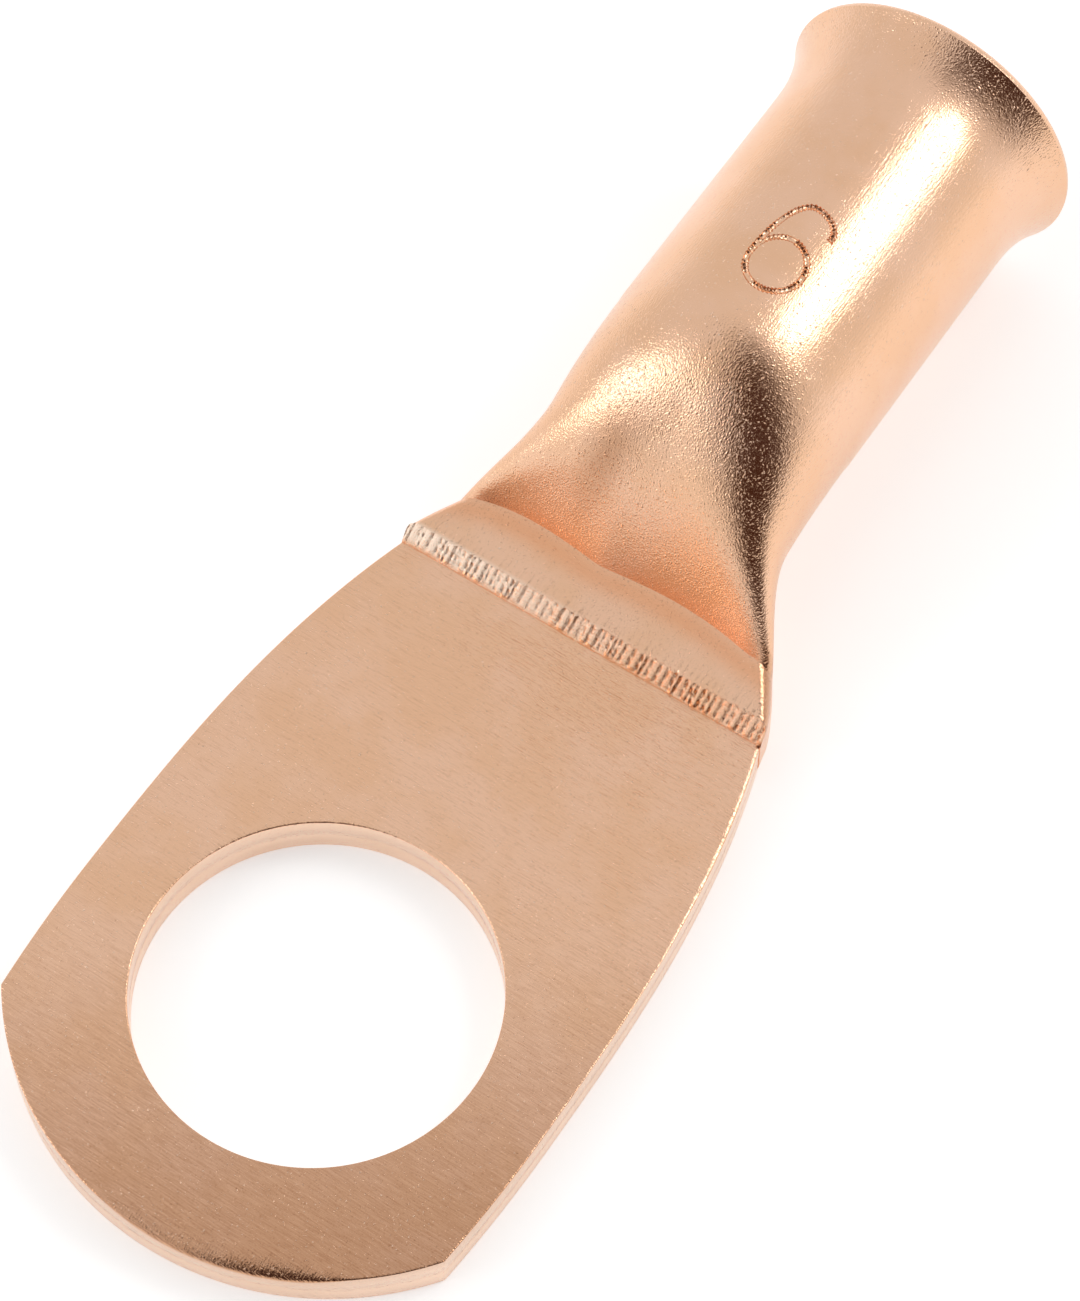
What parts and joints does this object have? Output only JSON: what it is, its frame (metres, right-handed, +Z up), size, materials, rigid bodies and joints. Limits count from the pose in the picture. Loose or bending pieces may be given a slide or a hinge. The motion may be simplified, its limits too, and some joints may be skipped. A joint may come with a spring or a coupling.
{
  "type": "copper cable lug",
  "caption": "Seamless copper tube lug: flat palm with a stud hole, stepped and ramped neck, round crimp barrel with a belled mouth.",
  "frame": {"origin": "on the stud hole's axis, at the palm's underside", "axes": "+X from the palm to the barrel's mouth, +Z up through the palm, +Y across the palm"},
  "size_m": [0.0407, 0.0152, 0.0094],
  "materials": {
    "copper": "satin, acid-cleaned bare copper with a fine grain and cross-brushed pressed faces"
  },
  "bodies": {
    "root": {"lug": "copper"}
  },
  "joints": []
}
